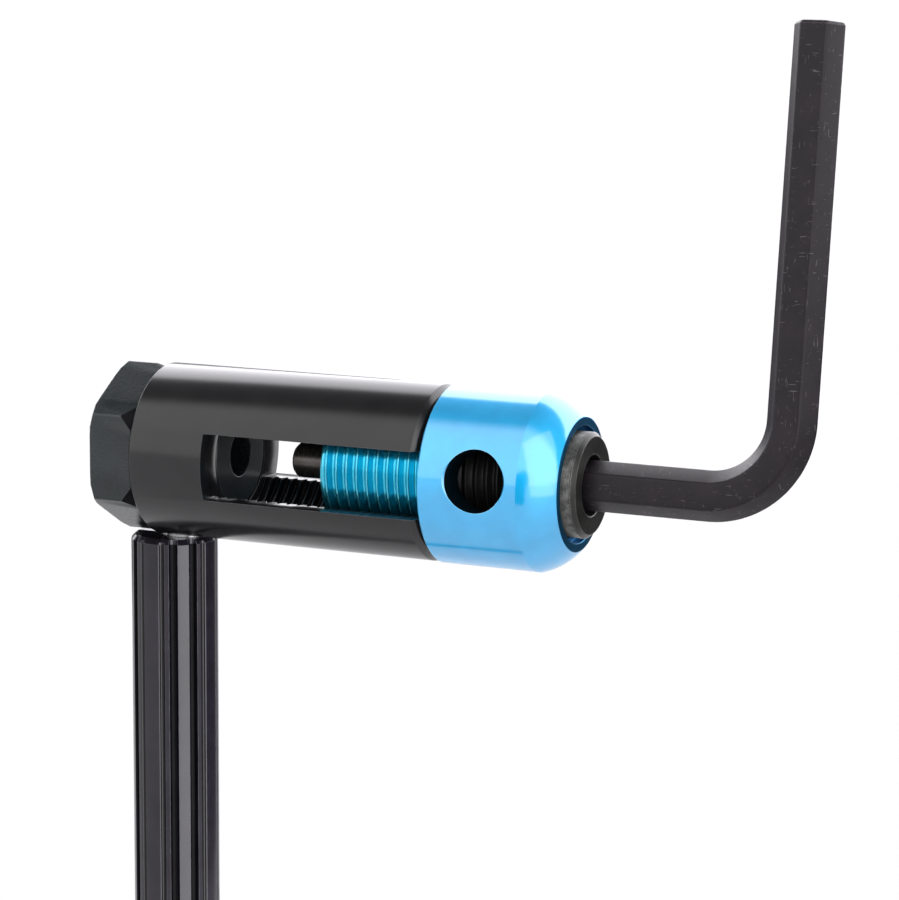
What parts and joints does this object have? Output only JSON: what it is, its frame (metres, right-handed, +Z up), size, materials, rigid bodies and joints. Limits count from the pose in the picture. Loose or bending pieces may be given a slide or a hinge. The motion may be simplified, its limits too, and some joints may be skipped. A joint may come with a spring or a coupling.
{
  "type": "chain tool",
  "caption": "Compact bicycle chain tool: slotted round body with anvil plug, threaded barrel, drive screw with push pin, fluted handle bar and hex key.",
  "frame": {"origin": "centre of the anvil face on the tool axis, where the rivet bore opens into the chain slot", "axes": "+X along the tool axis from the anvil towards the barrel and key, +Z up away from the handle, the chain lies in the slot along Y"},
  "size_m": [0.0669, 0.0162, 0.1407],
  "materials": {
    "black_anodised": "satin",
    "black_oxide": "satin",
    "blue_anodised": "gloss",
    "rubber": "matte",
    "screw_steel": "satin",
    "pin_steel": "satin",
    "spring_steel": "satin",
    "handle_anodised": "satin",
    "zinc_steel": "satin",
    "key_steel": "satin"
  },
  "bodies": {
    "frame": {"body": "black_anodised", "anvil_plug": "black_oxide", "handle_bar": "handle_anodised", "handle_stud": "zinc_steel"},
    "seal": {"barrel_o_ring": "rubber"},
    "barrel": {"barrel": "blue_anodised"},
    "pin": {"push_pin": "pin_steel"},
    "screw": {"drive_screw": "screw_steel", "pin_snap_ring": "spring_steel"},
    "key": {"hex_key": "key_steel"},
    "cap": {"end_plug": "black_anodised", "end_plug_o_ring": "rubber", "spare_pin": "pin_steel"}
  },
  "joints": [
    {"name": "barrel_travel", "type": "slide", "parent": "frame", "child": "seal", "axis": [1, 0, 0], "range_m": [-0.00001, 0.00901]},
    {"name": "barrel_turn", "type": "hinge", "parent": "seal", "child": "barrel", "pos_m": [0.0267, 0, 0], "axis": [1, 0, 0], "range_deg": [0, 3240]},
    {"name": "drive_travel", "type": "slide", "parent": "barrel", "child": "pin", "axis": [1, 0, 0], "range_m": [-0.00701, 0.00451]},
    {"name": "drive_turn", "type": "hinge", "parent": "pin", "child": "screw", "pos_m": [0.03, 0, 0], "axis": [1, 0, 0], "range_deg": [-2520, 1620]},
    {"name": "key_pull", "type": "slide", "parent": "screw", "child": "key", "axis": [1, 0, 0], "range_m": [0, 0.03]},
    {"name": "cap_pull", "type": "slide", "parent": "frame", "child": "cap", "axis": [0, 0, -1], "range_m": [0, 0.03]}
  ],
  "couplings": [
    {"joint": "barrel_travel", "follows": "barrel_turn", "m_per_rad": 0.00015915},
    {"joint": "drive_travel", "follows": "drive_turn", "m_per_rad": 0.00015915}
  ]
}
